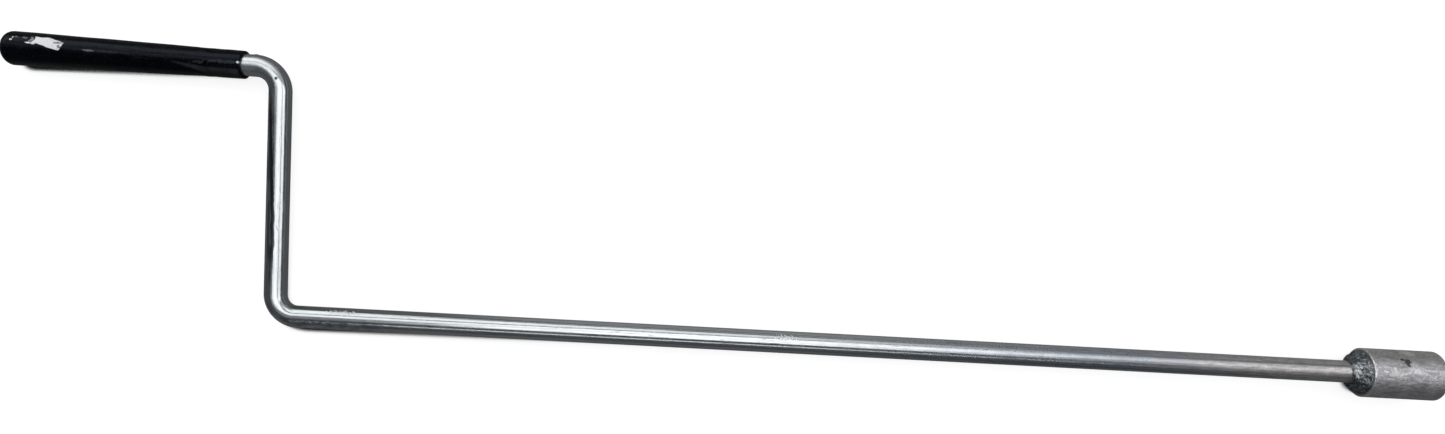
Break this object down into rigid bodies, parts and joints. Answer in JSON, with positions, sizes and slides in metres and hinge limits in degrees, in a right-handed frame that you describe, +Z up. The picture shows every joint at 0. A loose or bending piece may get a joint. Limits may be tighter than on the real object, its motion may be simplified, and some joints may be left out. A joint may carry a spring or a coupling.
{
  "type": "trailer jack winding handle",
  "caption": "Cranked round-bar winding handle for a trailer jack, with a welded hex drive socket at one end and a freely turning closed grip at the other.",
  "frame": {"origin": "centre of the drive socket's mouth, on the drive axis", "axes": "+X out of the socket's mouth along the drive axis, +Y from the drive axis towards the handle, +Z up when the crank lies flat"},
  "size_m": [0.8286, 0.1695, 0.028],
  "materials": {
    "zinc_bar": "bright zinc plate over drawn steel bar, duller and grainier towards the socket",
    "galvanised_socket": "dull mottled zinc over turned steel",
    "weld_metal": "dark lumpy weld metal with bright spots",
    "black_vinyl": "glossy black dipped vinyl, scuffed"
  },
  "bodies": {
    "crank": {"crank_bar": "zinc_bar", "drive_socket": "galvanised_socket", "socket_weld": "weld_metal"},
    "grip": {"grip_sleeve": "black_vinyl"}
  },
  "joints": [
    {"name": "grip_spin", "type": "hinge", "parent": "crank", "child": "grip", "pos_m": [-0.66998, 0.14244, 0], "axis": [0.9998, -0.0209, 0], "continuous": true}
  ]
}
